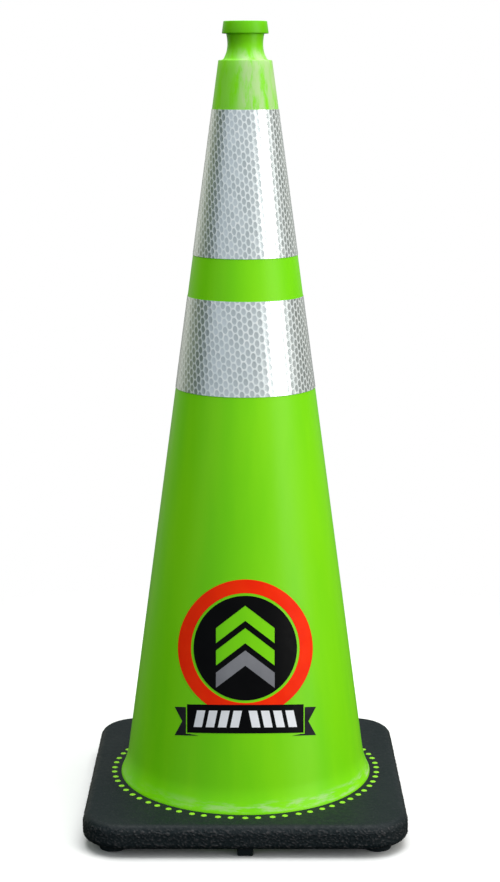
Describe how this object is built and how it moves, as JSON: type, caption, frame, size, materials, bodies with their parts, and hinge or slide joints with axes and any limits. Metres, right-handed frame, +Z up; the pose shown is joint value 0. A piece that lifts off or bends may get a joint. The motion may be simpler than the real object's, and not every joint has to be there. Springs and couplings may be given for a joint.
{
  "type": "traffic cone",
  "caption": "Tall lime traffic cone with a grip neck, open head, black square weighted base, wide and narrow reflective collars and a round emblem over a banner.",
  "frame": {"origin": "on the floor, under the cone's axis, at the bottom of the base's feet", "axes": "+Z up the cone's axis to its head; the emblem faces -Y; +X to the emblem's right as it is looked at"},
  "size_m": [0.3682, 0.3682, 0.9144],
  "materials": {
    "lime_pvc": "glossy flexible PVC, high-visibility lime",
    "black_pvc": "grained matt black recycled PVC",
    "reflective_sheeting": "glossy silver-white prismatic reflective film with a honeycomb net",
    "red_vinyl": "satin vinyl",
    "black_vinyl": "satin vinyl",
    "grey_vinyl": "satin vinyl",
    "charcoal_vinyl": "satin vinyl",
    "white_vinyl": "satin vinyl"
  },
  "bodies": {
    "root": {"cone_body": "lime_pvc", "base": "black_pvc", "base_feet": "black_pvc", "upper_collar": "reflective_sheeting", "lower_collar": "reflective_sheeting", "emblem_ring": "red_vinyl", "emblem_disc": "black_vinyl", "emblem_chevron": "grey_vinyl", "banner_plate": "black_vinyl", "banner_tails": "charcoal_vinyl", "banner_bars": "white_vinyl"}
  },
  "joints": []
}
